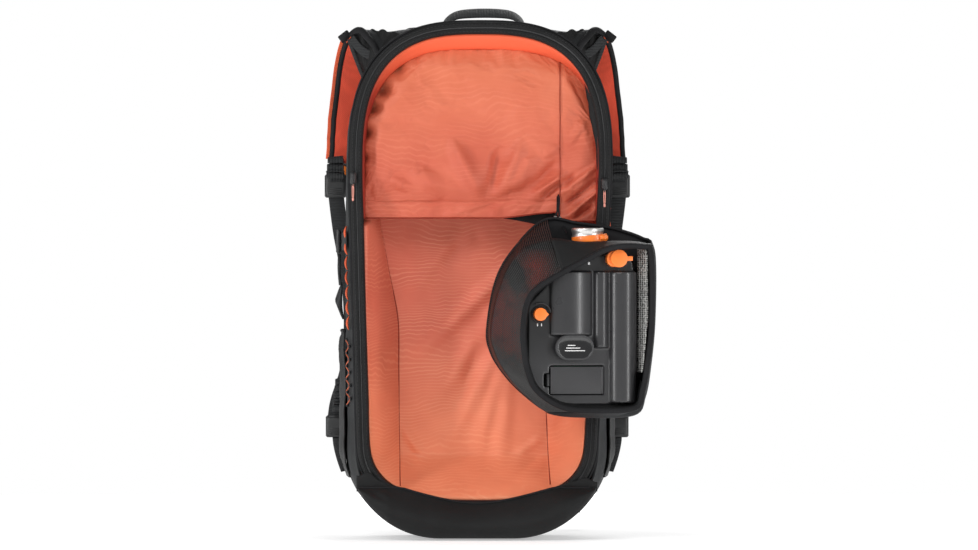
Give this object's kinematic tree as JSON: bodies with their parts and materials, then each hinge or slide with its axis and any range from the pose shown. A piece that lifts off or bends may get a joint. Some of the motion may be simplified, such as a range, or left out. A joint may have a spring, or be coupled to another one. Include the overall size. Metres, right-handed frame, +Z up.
{
  "type": "avalanche airbag backpack",
  "caption": "Ski backpack with its front panel unzipped, orange lining, packed airbag and an electric inflation unit hung out in a mesh pouch.",
  "frame": {"origin": "centre of the flat base on which the pack stands", "axes": "+Z up along the pack, +X to the right when the open front is seen, +Y towards the wearer's back"},
  "size_m": [0.377, 0.4266, 0.607],
  "materials": {
    "shell_fabric": "matte",
    "back_padding": "matte",
    "alloy": "satin",
    "lining": "satin",
    "airbag_cloth": "satin",
    "webbing": "satin",
    "strap_fabric": "matte",
    "buckle_plastic": "satin",
    "trigger_fabric": "matte",
    "control_orange": "satin",
    "pouch_fabric": "matte",
    "pouch_mesh": "matte",
    "housing_plastic": "satin",
    "badge_gloss": "gloss",
    "circuit": "satin"
  },
  "bodies": {
    "root": {"base_panel": "shell_fabric", "left_side_panel": "shell_fabric", "right_side_panel": "shell_fabric", "top_panel": "shell_fabric", "lower_front_wall": "shell_fabric", "zipper_rim": "shell_fabric", "back_wall": "shell_fabric", "frame_sheet": "alloy", "back_foam": "back_padding", "lumbar_pad": "back_padding", "strap_yoke": "back_padding", "airbag_cover": "lining", "lower_lining": "lining", "left_lining_gusset": "lining", "right_lining_gusset": "lining", "bottom_lining_gusset": "lining", "lining_ceiling": "lining", "airbag": "airbag_cloth", "airbag_neck": "lining", "left_side_strap": "webbing", "right_side_strap": "webbing", "left_lower_lock": "buckle_plastic", "right_lower_lock": "buckle_plastic", "left_strap_webbing": "webbing", "right_strap_webbing": "webbing"},
    "haul_loop": {"haul_loop": "webbing"},
    "front_flap": {"front_flap": "shell_fabric"},
    "left_zip_slider": {"left_zip_slider": "buckle_plastic"},
    "right_zip_slider": {"right_zip_slider": "buckle_plastic"},
    "left_strap": {"left_shoulder_pad": "strap_fabric", "left_strap_lock": "buckle_plastic", "trigger_sleeve": "trigger_fabric"},
    "right_strap": {"right_shoulder_pad": "strap_fabric", "right_strap_lock": "buckle_plastic"},
    "left_sternum": {"left_sternum_strap": "buckle_plastic"},
    "right_sternum": {"right_sternum_strap": "buckle_plastic"},
    "trigger_handle": {"trigger_handle": "control_orange"},
    "left_hip": {"left_hip_wing": "back_padding", "hip_buckle_male": "buckle_plastic"},
    "right_hip": {"right_hip_wing": "back_padding", "hip_buckle_female": "buckle_plastic"},
    "pouch": {"pouch_back": "pouch_fabric", "pouch_gusset": "pouch_mesh", "pouch_side": "pouch_fabric", "pouch_top": "pouch_fabric", "pouch_binding": "pouch_fabric", "unit_base": "housing_plastic", "unit_cover": "housing_plastic", "capacitors": "alloy", "motor": "alloy", "volute": "housing_plastic", "circuit_board": "circuit", "battery_cells": "alloy", "badge": "badge_gloss", "outlet_ring": "alloy"},
    "impeller": {"impeller": "housing_plastic"},
    "battery_door": {"battery_door": "housing_plastic"},
    "battery_latch": {"battery_latch": "housing_plastic"},
    "selector_knob": {"selector_knob": "control_orange"},
    "trigger_cap": {"trigger_cap": "control_orange"}
  },
  "joints": [
    {"name": "haul_loop_fold", "type": "hinge", "parent": "root", "child": "haul_loop", "pos_m": [0.007, 0.0695, 0.5825], "axis": [-1, 0, 0], "range_deg": [0, 75]},
    {"name": "front_flap_lift", "type": "hinge", "parent": "root", "child": "front_flap", "pos_m": [0, -0.096, 0.0605], "axis": [-1, 0, 0], "range_deg": [0, 80]},
    {"name": "left_zip_slide", "type": "slide", "parent": "root", "child": "left_zip_slider", "axis": [-0.0744, 0, 0.9972], "range_m": [-0.1, 0.02]},
    {"name": "right_zip_slide", "type": "slide", "parent": "root", "child": "right_zip_slider", "axis": [0.0744, 0, 0.9972], "range_m": [-0.012, 0.02]},
    {"name": "left_strap_swing", "type": "hinge", "parent": "root", "child": "left_strap", "pos_m": [-0.078, 0.098, 0.548], "axis": [1, 0, 0], "range_deg": [0, 25]},
    {"name": "right_strap_swing", "type": "hinge", "parent": "root", "child": "right_strap", "pos_m": [0.078, 0.098, 0.548], "axis": [1, 0, 0], "range_deg": [0, 25]},
    {"name": "left_sternum_slide", "type": "slide", "parent": "left_strap", "child": "left_sternum", "axis": [0, 0, 1], "range_m": [-0.012, 0.015]},
    {"name": "right_sternum_slide", "type": "slide", "parent": "right_strap", "child": "right_sternum", "axis": [0, 0, 1], "range_m": [-0.012, 0.015]},
    {"name": "trigger_pull", "type": "slide", "parent": "left_strap", "child": "trigger_handle", "axis": [0, 0, -1], "range_m": [0, 0.06]},
    {"name": "left_hip_fold", "type": "hinge", "parent": "root", "child": "left_hip", "pos_m": [-0.11, 0.078, 0.1], "axis": [0, 0, -1], "range_deg": [-10, 22]},
    {"name": "right_hip_fold", "type": "hinge", "parent": "root", "child": "right_hip", "pos_m": [0.11, 0.078, 0.1], "axis": [0, 0, 1], "range_deg": [-10, 22]},
    {"name": "pouch_swing", "type": "hinge", "parent": "root", "child": "pouch", "pos_m": [0.115, -0.097, 0.3622], "axis": [-1, 0, 0], "range_deg": [0, 35]},
    {"name": "impeller_spin", "type": "hinge", "parent": "pouch", "child": "impeller", "pos_m": [0.10337, -0.13576, 0.27], "axis": [0.2419, -0.9703, 0], "continuous": true},
    {"name": "battery_door_open", "type": "hinge", "parent": "pouch", "child": "battery_door", "pos_m": [0.14072, -0.13428, 0.181], "axis": [0, 0, 1], "range_deg": [0, 100]},
    {"name": "battery_latch_slide", "type": "slide", "parent": "pouch", "child": "battery_latch", "axis": [-0.9703, -0.2419, 0], "range_m": [0, 0.0024], "stiffness_N_per_m": 150},
    {"name": "selector_turn", "type": "hinge", "parent": "pouch", "child": "selector_knob", "pos_m": [0.07028, -0.15432, 0.2554], "axis": [0.2419, -0.9703, 0], "range_deg": [0, 90]},
    {"name": "trigger_cap_turn", "type": "hinge", "parent": "pouch", "child": "trigger_cap", "pos_m": [0.15867, -0.1364, 0.318], "axis": [0.2419, -0.9703, 0], "range_deg": [0, 45]}
  ]
}
